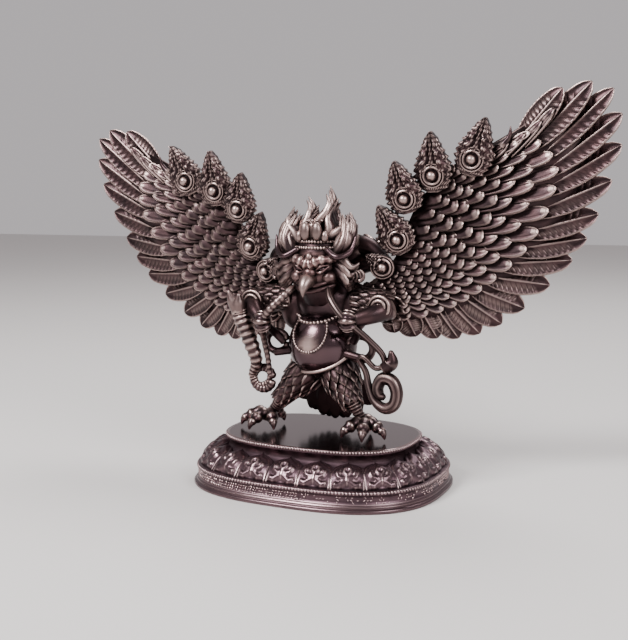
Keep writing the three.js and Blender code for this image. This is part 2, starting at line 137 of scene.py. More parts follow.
def rim(level, inset, z, count, start=0.0):
    """Points evenly spaced round a level of the plinth, and the way out at each."""
    angle = np.linspace(0, 2 * np.pi, 2401)
    x, y = (
        (half - inset) * np.sign(v) * np.abs(v) ** (2 / CORNER)
        for half, v in zip(level, (np.cos(angle), np.sin(angle)))
    )
    walked = np.concatenate([[0], np.cumsum(np.hypot(np.diff(x), np.diff(y)))])
    wanted = (np.arange(count) + start) / count * walked[-1]
    x, y = np.interp(wanted, walked, x), np.interp(wanted, walked, y)
    ahead = np.stack([np.roll(x, -1) - np.roll(x, 1), np.roll(y, -1) - np.roll(y, 1)], 1)
    ahead /= np.linalg.norm(ahead, axis=1)[:, None]
    return np.stack([x, y, np.full(count, z)], 1), np.stack([ahead[:, 1], -ahead[:, 0], 0 * x], 1)


def lattice(rings):
    """Points and faces of a skin over rings that close round, with both ends capped."""
    rings = np.asarray(rings, float)
    index = np.arange(rings.shape[0] * rings.shape[1]).reshape(rings.shape[:2])
    after = np.roll(index, -1, 1)
    faces = np.stack([index[:-1], after[:-1], after[1:], index[1:]], -1).reshape(-1, 4).tolist()
    return rings.reshape(-1, 3), faces + [index[0, ::-1].tolist(), index[-1].tolist()]


def plaque(front, depth):
    """A chased front, given as a grid of points, closed by its edge and a flat back."""
    rows, columns = front.shape[:2]
    index = np.arange(rows * columns).reshape(rows, columns)
    corners = [index[:-1, :-1], index[:-1, 1:], index[1:, 1:], index[1:, :-1]]
    faces = np.stack(corners, -1).reshape(-1, 4).tolist()
    border = np.concatenate([index[0, ::-1], index[1:, 0], index[-1, 1:], index[-2:0:-1, -1]])
    points = front.reshape(-1, 3)
    low = points[border] * [1, 1, 0] - [0, 0, depth]
    below = np.arange(len(border)) + len(points)
    side = np.stack([border, np.roll(border, -1), np.roll(below, -1), below], -1).tolist()
    return np.concatenate([points, low]), faces + side + [below.tolist()]


class Casting:
    """Shapes that are cast in one, gathered into one mesh with what the finish reads."""

    def __init__(self):
        self.points, self.faces, self.marks, self.count = [], [], [], 0

    def add(self, shape, polish=0.0, red=0.0, dark=0.0):
        """Adds a shape, turned right side out, with how polished, red and dark its points are.
        Dark deepens the recess and dulls the edges, in places as painted shade; below 0 it makes them
        bright instead, as rubbed metal and in places as a painted highlight."""
        points, faces = shape
        points = np.asarray(points, float)
        fan = np.array([(f[0], f[k], f[k + 1]) for f in faces for k in range(1, len(f) - 1)])
        a, b, c = (points[fan[:, k]] - points.mean(0) for k in range(3))
        if np.einsum("ij,ij->i", a, np.cross(b, c)).sum() < 0:
            faces = [f[::-1] for f in faces]
        self.points.append(points)
        self.faces += [[i + self.count for i in f] for f in faces]
        marks = [np.broadcast_to(np.asarray(v, float), (len(points),)) for v in (polish, red, dark)]
        self.marks.append(np.stack(marks, 1))
        self.count += len(points)

    def piece(self, name, finish):
        """The casting as an object, with how sheltered and how sharp it is at each point."""
        points = np.concatenate(self.points)
        made = bpy.data.meshes.new(name)
        made.from_pydata((points * MM).tolist(), [], self.faces)
        made.materials.append(finish)
        made.shade_smooth()
        normal = np.zeros(len(points) * 3, np.float32)
        made.vertex_normals.foreach_get("vector", normal)
        normal = normal.reshape(-1, 3).astype(float)
        solid = BVHTree.FromPolygons(points.tolist(), self.faces)
        chance = np.random.default_rng(5)
        rays = chance.normal(size=(RAYS, 3))
        rays /= np.linalg.norm(rays, axis=1)[:, None]
        shelter = np.zeros(len(points))
        start = points + normal * CLEAR
        for ray in rays:
            toward = normal + SPREAD * ray
            for i, (place, way) in enumerate(zip(start.tolist(), toward.tolist())):
                distance = solid.ray_cast(place, way, REACH)[3]
                if distance is not None:
                    shelter[i] += 1 - distance / REACH
        shelter /= RAYS
        edges = np.zeros(len(made.edges) * 2, np.int32)
        made.edges.foreach_get("vertices", edges)
        a, b = edges.reshape(-1, 2).T
        apart = points[b] - points[a]
        length = np.linalg.norm(apart, axis=1) + 1e-6
        bend = np.zeros(len(points))
        shared = np.full(len(points), 1e-6)
        for here, way in ((a, -1.0), (b, 1.0)):
            np.add.at(bend, here, way * np.einsum("ij,ij->i", apart, normal[here]) / length)
            np.add.at(shared, here, 1)
        polish, red, dark = np.concatenate(self.marks).T
        # An edge starts to show at a bend of 0.2, a recess once an eighth of it is sheltered.
        sharp = np.clip(bend / shared * 3.3 - 0.66 - 0.9 * dark, 0, 1)
        # Edges facing up and to the front are made brighter than those facing down: a painted highlight.
        painted_top_light = 0.6 + 0.4 * np.clip(normal[:, 2] - 0.5 * normal[:, 1], 0, 1)
        recess = np.clip(2.5 * shelter - 0.32 + dark, 0, 1)
        for word, values in (
            ("recess", recess * (1 - 0.5 * polish)),
            ("edge", sharp * painted_top_light * (1 - 0.75 * recess)),
            ("polish", polish),
            ("red", red),
        ):
            made.attributes.new(word, "FLOAT", "POINT").data.foreach_set(
                "value", np.clip(values, 0, 1).astype(np.float32)
            )
        made_object = bpy.data.objects.new(name, made)
        bpy.context.scene.collection.objects.link(made_object)
        return made_object


RAYS = 20
REACH = 5.0  # mm: how far round a point something shelters it from the rubbing cloth
CLEAR = 0.06  # mm: how far off the skin a ray starts
SPREAD = 0.92  # how far a ray leans from straight out; below 1 none runs into its own skin


def copies(name, shape, spots, turns, sizes, finish):
    """Copies of a shape at spots, each turned and sized: Geometry Nodes make and join them."""
    carried = bpy.data.meshes.new(name)
    carried.from_pydata(np.asarray(shape[0], float).tolist(), [], shape[1])
    pattern = bpy.data.objects.new(name, carried)
    points = bpy.data.meshes.new(name + "_spots")
    points.from_pydata(np.asarray(spots, float).tolist(), [], [])
    for word, values in (("turn", turns), ("size", sizes)):
        values = np.broadcast_to(np.asarray(values, np.float32), (len(spots), 3))
        store = points.attributes.new(word, "FLOAT_VECTOR", "POINT")
        store.data.foreach_set("vector", np.ascontiguousarray(values).ravel())
    carrier = bpy.data.objects.new(name + "_spots", points)
    bpy.context.scene.collection.objects.link(carrier)
    tree = bpy.data.node_groups.new(name, "GeometryNodeTree")
    tree.interface.new_socket("Spots", in_out="INPUT", socket_type="NodeSocketGeometry")
    shape_in = tree.interface.new_socket("Shape", in_out="INPUT", socket_type="NodeSocketObject")
    swell_in = tree.interface.new_socket("Swell", in_out="INPUT", socket_type="NodeSocketFloat")
    finish_in = tree.interface.new_socket("Finish", in_out="INPUT", socket_type="NodeSocketMaterial")
    tree.interface.new_socket("Copies", in_out="OUTPUT", socket_type="NodeSocketGeometry")
    given = node(tree, "NodeGroupInput")
    source = node(tree, "GeometryNodeObjectInfo", {"Object": given.outputs["Shape"]})
    turn = node(tree, "GeometryNodeInputNamedAttribute", {"Name": "turn"}, data_type="FLOAT_VECTOR")
    size = node(tree, "GeometryNodeInputNamedAttribute", {"Name": "size"}, data_type="FLOAT_VECTOR")
    turned = node(tree, "FunctionNodeEulerToRotation", {0: turn.outputs[0]})
    swelled = node(
        tree, "ShaderNodeVectorMath", {0: size.outputs[0], "Scale": given.outputs["Swell"]}, operation="SCALE"
    )
    placed = node(
        tree,
        "GeometryNodeInstanceOnPoints",
        {
            "Points": given.outputs["Spots"],
            "Instance": source.outputs["Geometry"],
            "Rotation": turned.outputs[0],
            "Scale": swelled.outputs[0],
        },
    )
    real = node(tree, "GeometryNodeRealizeInstances", {0: placed.outputs[0]})
    dressed = node(
        tree, "GeometryNodeSetMaterial", {"Geometry": real.outputs[0], "Material": given.outputs["Finish"]}
    )
    node(tree, "NodeGroupOutput", {0: dressed.outputs[0]})
    modifier = carrier.modifiers.new(name, "NODES")
    modifier.node_group = tree
    modifier[shape_in.identifier] = pattern
    modifier[swell_in.identifier] = 1.0
    modifier[finish_in.identifier] = finish
    made = bpy.data.meshes.new_from_object(
        carrier.evaluated_get(bpy.context.evaluated_depsgraph_get())
    )
    carrier.modifiers.clear()
    place = np.zeros(len(made.vertices) * 3, np.float32)
    made.vertices.foreach_get("co", place)
    faces = [list(p.vertices) for p in made.polygons]
    for done in (carrier, pattern):
        bpy.data.objects.remove(done)
    bpy.data.meshes.remove(made)
    return place.reshape(-1, 3).astype(float), faces


def facing(ahead, outward):
    """Euler turn of a copy whose X goes ahead and whose Z goes outward."""
    x = np.asarray(ahead, float) / np.linalg.norm(ahead)
    z = np.asarray(outward, float) - x * np.dot(outward, x)
    z /= np.linalg.norm(z)
    return tuple(Matrix(np.stack([x, np.cross(z, x), z], 1).tolist()).to_euler())


def ball(across=8, down=5):
    """A round bead of radius 1."""
    fall = np.linspace(0.12, np.pi - 0.12, down)
    round_it = np.linspace(0, 2 * np.pi, across, endpoint=False)
    rings = [
        [(math.sin(f) * math.cos(a), math.sin(f) * math.sin(a), math.cos(f)) for a in round_it] for f in fall
    ]
    return lattice(rings)


plinth = Casting()
profile = [  # level, how far in from it, height
    (FOOT, 1.2, 0), (FOOT, 0.2, 0), (FOOT, 0.0, 0.3), (FOOT, 0.0, 1.1), (FOOT, 0.35, 1.5),
    (FOOT, 1.0, 1.7), (FOOT, 1.1, 1.95), (FOOT, 0.9, 2.15), (FOOT, 1.0, 2.5), (FOOT, 1.5, 2.7),
    (BAND, 0.0, 2.85), (BAND, 0.0, 3.2), (BAND, 0.3, 3.35), (BAND, 0.3, 6.3), (BAND, 0.0, 6.45),
    (BAND, -0.3, 6.7), (BAND, -0.4, 7.3), (BAND, -0.1, 7.9), (BAND, 0.9, 8.1), (BAND, 1.5, 8.2),
    (PLATE, -3.8, 11.3), (PLATE, 0.3, 13.9), (PLATE, 0.9, 14.4), (PLATE, 1.4, 15.4),
    (PLATE, 1.3, 16.6), (PLATE, 0.8, 17.7), (PLATE, 0.35, 18.3), (PLATE, 0.3, 18.5),
    (PLATE, 0.4, 19.5), (PLATE, 0.6, PLATE_TOP), (PLATE, 1.6, PLATE_TOP),
]
shape = lattice([rim(level, inset, z, 192)[0] for level, inset, z in profile])
height = shape[0][:, 2]
top = height > PLATE_TOP - 0.05
neck = (height > 15.3) & (height < 18.4)
slope = (height > 8.15) & (height < 15.5)
foot_rim = height < 2.8
plinth.add(
    shape, polish=1.0 * top + 0.5 * foot_rim + 0.5 * neck, dark=0.2 * neck + 0.6 * slope - 0.4 * top
)

# Beaded rims, punched round the plate's edge and the top of the band.
for level, inset, z, count, size in ((PLATE, 0.45, 19.2, 190, 0.6), (BAND, 0.05, 7.35, 230, 0.66)):
    spots, _ = rim(level, inset, z, count)
    plinth.add(copies("rim_beads", ball(), spots, (0, 0, 0), [size] * 3, plinth_copper), polish=0.4)

# Band: rows of small chased strokes, which are no letters.
chance = np.random.default_rng(7)
stroke = (  # a square foot that rises to a short ridge
    [(-0.5, -0.5, -0.5), (0.5, -0.5, -0.5), (0.5, 0.5, -0.5), (-0.5, 0.5, -0.5)]
    + [(-0.36, 0, 0.5), (0.36, 0, 0.5)],
    [[0, 1, 5, 4], [1, 2, 5], [2, 3, 4, 5], [3, 0, 4], [3, 2, 1, 0]],
)
spots, turns, sizes = [], [], []
for row, z in enumerate((3.75, 4.75, 5.75)):
    for place, out in zip(*rim(BAND, 0.3, z, 250, start=0.33 * row)):
        sparse = place[1] < 0 and place[0] > 8  # rows thin out towards the front's right end
        if chance.random() < (0.6 if sparse else 0.06):
            continue
        along = np.array([-out[1], out[0], 0])
        lean = chance.choice([0.0, 0.5, 1.57, 1.57, 2.4]) + chance.uniform(-0.15, 0.15)
        spots.append(place + along * chance.uniform(-0.15, 0.15))
        turns.append(facing(along * math.cos(lean) + np.array([0, 0, 1.0]) * math.sin(lean), out))
        sizes.append((chance.uniform(0.7, 1.1), 0.36, 0.8))
plinth.add(copies("band_strokes", stroke, spots, turns, sizes, plinth_copper), dark=-0.3)


def ridge(u, v, path, width):
    """A rounded ridge along a path on a chased face: 1 on the path, 0 beyond its width."""
    best = np.full(u.shape, 9.0)
    for (ax, ay), (bx, by) in zip(path[:-1], path[1:]):
        reach = (bx - ax) ** 2 + (by - ay) ** 2
        t = np.clip(((u - ax) * (bx - ax) + (v - ay) * (by - ay)) / reach, 0, 1)
        best = np.minimum(best, np.hypot(u - ax - t * (bx - ax), v - ay - t * (by - ay)))
    return np.sqrt(np.clip(1 - (best / width) ** 2, 0, 1))


# Lotus petals: each a dark rounded lobe in an ogee edge, with a trefoil scroll over its foot.
u, v = np.meshgrid(np.linspace(-1, 1, 33), np.linspace(0, 1, 25))
arch = [(-0.95, 0), (-0.93, 0.45), (-0.75, 0.7), (-0.4, 0.86), (0, 0.97)]
arch += [(-x, y) for x, y in arch[-2::-1]]
width = np.interp(v, [0, 0.45, 0.7, 0.86, 0.97, 1], [0.95, 0.93, 0.75, 0.4, 0.08, 0.05])
relief = 0.8 * np.sqrt(np.clip(1 - (u / width * 0.93) ** 2, 0, 1)) * np.clip(v / 0.3, 0.25, 1)
lobe = relief.copy()
trefoil = [([(0.2 * math.sin(a), 0.52 + 0.12 * math.cos(a)) for a in np.linspace(0, 6.3, 13)], 0.1, 1.25)]
trefoil += [([(0, 0.4), (0, 0.2)], 0.12, 1.2), (arch, 0.05, 0.38)]
for s in (-1, 1):
    curl = [(0.05, 0.3), (0.3, 0.27), (0.52, 0.33), (0.6, 0.44), (0.46, 0.5), (0.38, 0.42)]
    skirt = [(0.04, 0.22), (0.28, 0.15), (0.5, 0.06), (0.72, 0.1)]
    trefoil += [([(s * x, y) for x, y in curl], 0.11, 1.1), ([(s * x, y) for x, y in skirt], 0.12, 1.0)]
for path, wide, high in trefoil:
    relief = np.maximum(relief, high * ridge(u, v, path, wide))
taper = np.interp(v, [0, 0.5, 0.75, 0.9, 1], [1, 1, 0.86, 0.55, 0.12])
petal = plaque(np.stack([v, -u * taper, relief + 0.9 * np.sin(np.pi * v)], -1), 0.6)
low, outward = rim(BAND, 1.7, 8.1, PETALS, start=0.5)
high, _ = rim(PLATE, -0.1, 14.5, 40 * PETALS)
pitch = np.linalg.norm(low - np.roll(low, 1, 0), axis=1).mean()
turns = [
    facing(high[np.argmin(np.linalg.norm(high - place, axis=1))] - place, out + np.array([0, 0, 0.8]))
    for place, out in zip(low, outward)
]
over = np.concatenate([(relief > lobe + 0.02).ravel() * 1.0, np.zeros(len(petal[0]) - relief.size)])
plinth.add(
    copies("lotus_petals", petal, low, turns, (12.4, 0.5 * pitch, 1.7), plinth_copper),
    polish=np.tile(0.35 * over, PETALS),
    dark=np.tile(0.38 * (1 - over) - 0.1 * over, PETALS),
)
lotus_plinth = plinth.piece("lotus_plinth_casting", plinth_copper)
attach(lotus_plinth, "root")
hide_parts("lotus_plinth")


# Wings: cast in one with the body and chased feather by feather. Seventeen long primaries lie on
# a cast wall, under nine rows of coverts that shrink to scales towards the jewelled edge. Copper
# dipped longer than the plinth's: browner, and nearly black where nothing rubs it.
FEATHERS = 17
STAND = 20.1  # height of the soles above the floor, mm
figure_copper = copper("antiqued_copper_brown", "32282a", "eccec6", "5a4344", "544347", "1f1718")
figure = Casting()
LEAN, SWING = math.radians(-3.24), math.radians(1.26)  # how far the wings sit out of square
POSE = np.array(Matrix.Rotation(SWING, 3, "Z") @ Matrix.Rotation(LEAN, 3, "Y"))
PIVOT = np.array([0, 5, 55])


def wing_point(side, across, up, proud=0.0):
    """Place across and up a wing's sheet, proud of it towards the front, mm."""
    across, up, proud = np.broadcast_arrays(across, up, proud)
    sheet = np.stack([side * across, 7.83 + 0.208 * across - 0.151 * up - proud, up], -1)
    return (sheet - PIVOT) @ POSE.T + PIVOT + [0, 0, STAND]


def arc(keys, t):
    """Place on a smooth line through evenly timed keys."""
    keys = np.asarray(keys, float)
    place = np.clip(t, 0, 1) * (len(keys) - 1)
    step = min(int(place), len(keys) - 2)
    w = place - step
    a, b, c, d = (keys[min(max(step + k, 0), len(keys) - 1)] for k in (-1, 0, 1, 2))
    from_b, to_c = (c - a) / 2, (d - b) / 2
    cubed, squared = 2 * b - 2 * c + from_b + to_c, 3 * c - 3 * b - 2 * from_b - to_c
    return cubed * w**3 + squared * w**2 + from_b * w + b


# Lines that the feathers lie between, each from the wing's top down to the body: across, up.
TIPS = [
    (91.5, 126.5), (110.5, 127.3), (114.2, 107.4), (104.9, 81.2), (94, 63.1), (74, 44.4),
    (55.6, 35.6), (38.4, 35.5), (22.6, 38.8),
]
COVERTS = [(81, 112.6), (91, 98), (81, 73), (62, 55.5), (45, 47), (25, 44)]
LEADING = [(50, 100), (38, 86), (31, 71), (25, 64), (17, 58.4), (7, 58.4)]


def between(share, t):
    """Place at a share of the way from the leading edge to the line of the coverts."""
    start = arc(LEADING, t)
    return start + share * (arc(COVERTS, t) - start)


def closer(rows):
    """Rows from a feather's root to its tip, closer together towards the tip."""
    return 1 - (1 - np.linspace(0, 1, rows)) ** 1.6


def feather(along, across, width_keys, notches=None, groove=0.0, bow=0.0, lip=0.45):
    """A feather from its root at 0 to its tip at 1 along X. With notches it has a quill and a thin
    rim; without, it is a covert with long grooves and a thick tip."""
    s, v = along[:, None], across
    width = np.interp(s, *zip(*width_keys))
    slant = 0.13 * (np.abs(v) - 1) * np.sin(np.pi * s) ** 0.5
    rise = (0.12 if notches is None else 0.35) * (1 - v**2) + 0 * s
    if notches is None:
        rise += 0.3 * (np.abs(v) > 0.7) * (np.abs(v) < 0.97) - groove * np.cos(v * np.pi * 4) * (s < 0.82)
        rise += lip * np.exp(-(((s - 0.94) / 0.045) ** 2)) * (1 - v**2)
    else:
        rise += 0.7 * np.exp(-((v / 0.05) ** 2)) * (1 - s) ** 0.3
        rise += 0.4 * (np.abs(v) > 0.9) * (np.abs(v) < 0.97)
        rise -= notches[:, None] * (np.abs(v) > 0.3) * (np.abs(v) < 0.9)
    front = np.stack([s + slant * 0.9, 0.5 * width * v + bow * s**2, rise * np.clip(width * 2, 0.15, 1)], -1)
    front[..., 0] = np.clip(front[..., 0], 0, 1)
    under = np.stack([along, bow * along**2, np.full(len(along), -0.75)], -1)[:, None]
    return lattice(np.concatenate([front, under], 1))


# The outline of a primary, a long covert and a scale: how far from the root, and the width there as
# a share of the feather's full width.
LONG = [(0, 0.5), (0.2, 0.78), (0.4, 0.93), (0.6, 0.92), (0.75, 0.8), (0.86, 0.65), (0.94, 0.44), (1, 0.07)]
FINGER = [(0, 0.7), (0.3, 0.9), (0.65, 1), (0.82, 0.88), (0.93, 0.6), (1, 0.12)]
SCALE = [(0, 0.8), (0.5, 1), (0.8, 0.97), (0.93, 0.8), (1, 0.42)]
NOTCHES = 13  # to a primary's length, the last two left out; each is three rows close together
notch_rows = (np.arange(NOTCHES - 2)[:, None] + 0.5 + np.array([-0.12, 0, 0.12])).ravel() / NOTCHES
primary_rows = np.concatenate([[0], notch_rows, [0.86, 0.9, 0.93, 0.955, 0.975, 0.99, 1]])
notches = np.zeros(len(primary_rows))
notches[2 : 1 + len(notch_rows) : 3] = 0.3
half_columns = np.array([0.1, 0.45, 0.82, 0.93, 1])
primary_columns = np.concatenate([-half_columns[::-1], [0], half_columns])
PRIMARY_SHARE = 0.963  # of the way from root to TIPS, so that a tip stays inside the solid
COVERT_ROWS = [1.0, 0.84, 0.71, 0.6, 0.5, 0.41, 0.33, 0.25, 0.17]  # where each row ends
FINE_ROWS = 3  # of these have grooved feathers, the rest plain scales
BONE = [
    ((64, 101), (74, 108.6)), ((69, 102), (80, 111.6)),
    ((74, 104), (86, 115.6)), ((79, 107), (90.5, 119.6)),
]
HOOK = ((71, 107), (74.4, 110.6), (75.1, 114.4))
spurs, quills = [], []
for side in (1, -1):
    normal = wing_point(side, 0, 0, 1) - wing_point(side, 0, 0, 0)

    def lay(name, shape_of, ends, wide, thick, tilt, lift):
        """Feathers from root to tip on the sheet, each tilted so that one laps over the next."""
        spots, turns, sizes = [], [], []
        for (root, tip), w in zip(ends, wide):
            a = wing_point(side, *root, lift[0])
            b = wing_point(side, *tip, lift[1])
            ahead = b - a
            across = np.cross(normal, ahead) / np.linalg.norm(ahead)
            spots.append(a)
            turns.append(facing(ahead, normal + tilt * side * across))
            sizes.append((np.linalg.norm(ahead), w, thick))
        return copies(name, shape_of, spots, turns, sizes, figure_copper)

    ends, wide = [], []
    for i in range(FEATHERS):
        t = (i + 0.42) / FEATHERS
        tip, root = arc(TIPS, t), arc(COVERTS, t)
        root = root + 0.12 * (arc(LEADING, t) - root)
        ends.append((root, root + PRIMARY_SHARE * (tip - root)))
        wide.append(min(11.5, 1.32 * np.linalg.norm(arc(TIPS, t + 0.03) - arc(TIPS, t - 0.03))))
    primary = feather(primary_rows, primary_columns, LONG, notches, bow=0.035 * side)
    shade = np.interp(primary_rows, [0.88, 0.96], [-0.06, -0.5]).repeat(len(primary_columns) + 1)
    figure.add(lay("primaries", primary, ends, wide, 1.0, 0.13, (-1.5, -1.1)), dark=np.tile(shade, FEATHERS))

    for row, share in enumerate(COVERT_ROWS):
        count = FEATHERS - row // 3
        fine = row < FINE_ROWS
        along = closer(8 if fine else 6)
        across = np.linspace(-1, 1, 11) if fine else np.array([-1, -0.75, 0, 0.75, 1])
        lip = 0.4 if fine else 0.28
        covert = feather(along, across, FINGER if fine else SCALE, groove=0.12 * fine, lip=lip)
        at_tip = np.interp(along, [0.8, 0.95], [0, 1])[:, None]
        at_side = 0.22 * np.interp(np.abs([*across, 0]), [0.6, 0.8], [0, 1]) * (along[:, None] > 0.4)
        deep, bright = 0.5 + 0.04 * row, -1.0 + 0.09 * row  # at the root, and at the tip and sides
        shade = (deep + (bright - deep) * np.maximum(at_tip, at_side)).ravel()
        inner = max(0.02, share - (0.3 if fine else 0.2))
        ends, wide = [], []
        for i in range(count):
            t = (i + (0.42 if row % 2 == 0 else 0.85)) / count
            ends.append((between(inner, t), between(share, t)))
            apart = between(share, t + 0.5 / count) - between(share, t - 0.5 / count)
            wide.append(np.clip(0.98 * np.linalg.norm(apart), 2.6, 6.6))
        figure.add(lay("coverts", covert, ends, wide, 1.0, 0.3, (-0.7, 1.15)), dark=np.tile(shade, count))

    # Short feathers along the bone of the leading edge, and its hooked spur.
    bone_feather = feather(closer(9), np.linspace(-1, 1, 9), FINGER, groove=0.2)
    figure.add(lay("bone_feathers", bone_feather, BONE, [4.4] * len(BONE), 1.1, 0.2, (0.2, 0.8)), dark=0.05)
    spurs.append([wing_point(side, *p, 0.4) - [0, 0, STAND] for p in HOOK])
    for i in range(1, FEATHERS):
        t = (i + 0.42) / FEATHERS
        near, far = arc(LEADING, t), arc(TIPS, t)
        line = [near + s * (far - near) for s in (0.12, 0.4, 0.68, 0.92)]
        quills.append([wing_point(side, *p, -2.5) - [0, 0, STAND] for p in line])

    # The cast wall behind the feathers, plain at the back but for the raised quills.
    rings = []
    for t in np.linspace(0, 1, 60):
        start, middle, end = arc(LEADING, t), arc(COVERTS, t), arc(TIPS, t)
        far = middle + 0.35 * (end - middle)
        walk = [(start, 0), (middle, -0.6), (far, -1.6), (far, -2.3), (middle, -2.6), (start, -2.6)]
        rings.append([wing_point(side, *p, proud) for p, proud in walk])
    figure.add(lattice(rings), dark=0.3)


# Flame jewels: five cast plaques on each wing's leading edge, with crocketed edges, chased
# curls, and a turned orb in rings at the foot.
JEWELS = [  # across and up the wing, lean in degrees, height
    (61.2, 103.2, 21, 15.6), (46.5, 98.3, 1, 16), (35.6, 90.3, -12, 14.5),
    (31.5, 75.1, -26, 14.8), (24.9, 64.8, -50, 8),
]
PLAQUE_WIDTH = 14.2  # of a jewel 13 mm high or more
PLAQUE_OUTLINE = [  # height up the plaque, and the share of its full width there
    (-0.38, 0.3), (-0.3, 0.7), (0, 1), (0.22, 0.98), (0.42, 0.8), (0.6, 0.6), (0.8, 0.4),
    (0.93, 0.22), (1.02, 0.03),
]
u, v = np.meshgrid(np.linspace(-1, 1, 25), np.linspace(-0.38, 1.02, 29))
width = np.interp(v, *zip(*PLAQUE_OUTLINE))
width = width * (1 + 0.1 * np.cos(v * 2 * np.pi * 7))
relief = 0.5 + 0.5 * (1 - u**2) + 0.55 * ridge(u, v, [(0, 0.25), (0, 0.95)], 0.16)
for s in (-1, 1):
    for z in (0.2, 0.42, 0.62):
        curl = [(s * (0.55 + 0.24 * math.cos(a)), z + 0.085 * math.sin(a)) for a in np.linspace(0, 5.2, 9)]
        relief += 0.7 * ridge(u, v, curl, 0.09)
grain_row, grain_column = np.indices(u.shape)
relief += 0.35 * (grain_row % 2 == 0) * ((grain_column + grain_row // 2) % 2 == 0)  # grains
flame = plaque(np.stack([v, -0.5 * u * width, relief], -1), 1.3)
turned = [
    (0.04, 1.4), (0.2, 1.33), (0.37, 1.1), (0.47, 0.76), (0.5, 0.3), (0.64, 0.28), (0.74, 0.6),
    (0.87, 0.6), (0.92, 0.24), (1.02, 0.22), (1.09, 0.46), (1.18, 0.3), (1.22, -0.3), (0.3, -0.5),
]
angle = np.linspace(0, 2 * np.pi, 18, endpoint=False)
orb = lattice([[(r * math.cos(a), r * math.sin(a), h) for a in angle] for r, h in turned])
# The orb's ball carries a painted highlight, pale at its crown; its rings are lighter, its grooves darker.
orb_highlight_and_grooves = np.repeat([-1.1, -1, -0.7, -0.1, 0.4, 0.4, -0.3, -0.3, 0.4, 0.4, 0, 0, 0.3, 0.3], len(angle))
orb_highlight_and_grooves = np.tile(orb_highlight_and_grooves, 2 * len(JEWELS))
for name, pattern, proud, shade in (("flame_plaques", flame, 1.5, 0.42), ("flame_orbs", orb, 2.6, orb_highlight_and_grooves)):
    spots, turns, sizes = [], [], []
    for side in (1, -1):
        normal = wing_point(side, 0, 0, 1) - wing_point(side, 0, 0, 0)
        for across, up, lean, tall in JEWELS:
            way = math.radians(lean)
            foot = wing_point(side, across, up, proud)
            tip = wing_point(side, across + math.sin(way), up + math.cos(way), proud)
            spots.append(foot)
            turns.append(facing(tip - foot, normal))
            plaque_size = (tall, PLAQUE_WIDTH * min(1, tall / 13), 1.4)
            sizes.append(plaque_size if pattern is flame else (4.0, 4.0, 2.3))
    figure.add(copies(name, pattern, spots, turns, sizes, figure_copper), dark=shade)


# Body: cast in one with the wings. A pot belly polished by hands, a bare chest, arms and back
# chased with lapped plumes, and fists on the snakes. Limbs and locks are tapered strands.
def path_points(keys, t):
    """Places and headings on a smooth centripetal line through keys."""
    keys = np.asarray(keys, float)
    keys = np.concatenate([[2 * keys[0] - keys[1]], keys, [2 * keys[-1] - keys[-2]]])
    gap = np.maximum(np.linalg.norm(np.diff(keys, axis=0), axis=1) ** 0.5, 1e-4)
    place = np.clip(t, 0, 1) * (len(keys) - 3)
    step = np.minimum(place.astype(int), len(keys) - 4)
    w = (place - step)[:, None]
    p0, p1, p2, p3 = (keys[step + k] for k in range(4))
    g0, g1, g2 = (gap[step + k][:, None] for k in range(3))
    m1 = ((p1 - p0) / g0 - (p2 - p0) / (g0 + g1) + (p2 - p1) / g1) * g1
    m2 = ((p2 - p1) / g1 - (p3 - p1) / (g1 + g2) + (p3 - p2) / g2) * g1
    spot = p1 + m1 * w + (3 * (p2 - p1) - 2 * m1 - m2) * w**2 + (2 * (p1 - p2) + m1 + m2) * w**3
    heading = m1 + 2 * (3 * (p2 - p1) - 2 * m1 - m2) * w + 3 * (2 * (p1 - p2) + m1 + m2) * w**2
    return spot, heading / (np.linalg.norm(heading, axis=1)[:, None] + 1e-9)


def strand(keys, radii, sides=10, steps=16, flat=1.0, front=(0, -1, 0), chased=None):
    """A limb, lock or snake along a path, with rounded ends and a chased surface."""
    t = np.concatenate([[0, 0.006, 0.02], np.linspace(0.045, 0.955, steps), [0.98, 0.994, 1]])
    spot, heading = path_points(keys, t)
    across = np.cross(heading, front)
    across /= np.linalg.norm(across, axis=1)[:, None] + 1e-9
    through = np.cross(across, heading)
    radius = np.interp(t, np.linspace(0, 1, len(radii)), radii)
    radius = radius * np.sqrt(np.clip(1 - (1 - np.minimum(np.minimum(t, 1 - t) / 0.045, 1)) ** 2, 0.01, 1))
    angle = np.linspace(0, 2 * np.pi, sides, endpoint=False)[None]
    reach = radius[:, None] * (1 + (chased(t[:, None], angle) if chased else 0 * angle))
    rings = (
        spot[:, None]
        + (reach * np.cos(angle))[..., None] * across[:, None]
        + (reach * flat * np.sin(angle))[..., None] * through[:, None]
    )
    return lattice(rings + [0, 0, STAND])


def ringed(depth, rate):
    """Chasing of rings across a strand."""
    return lambda t, a: depth * np.cos(t * rate)


def twisted(depth, rate):
    """Chasing of two grooves that wind along a lock."""
    return lambda t, a: depth * np.cos(2 * a + rate * t)


for spur in spurs:
    figure.add(strand(spur, [1.5, 1.0, 0.2], 8, 6))
for quill in quills:
    figure.add(strand(quill, [0.9, 0.8, 0.7, 0.3], 5, 4))


def mass(centre, radii, across=24, down=15):
    """A rounded lump, with its radii along X, Y and Z."""
    points, faces = ball(across, down)
    return points * radii + np.array(centre) + [0, 0, STAND], faces


def flip(side, keys):
    """A path on the figure's left as it is for side 1, and mirrored for side -1."""
    return [(side * x, y, z) for x, y, z in keys]


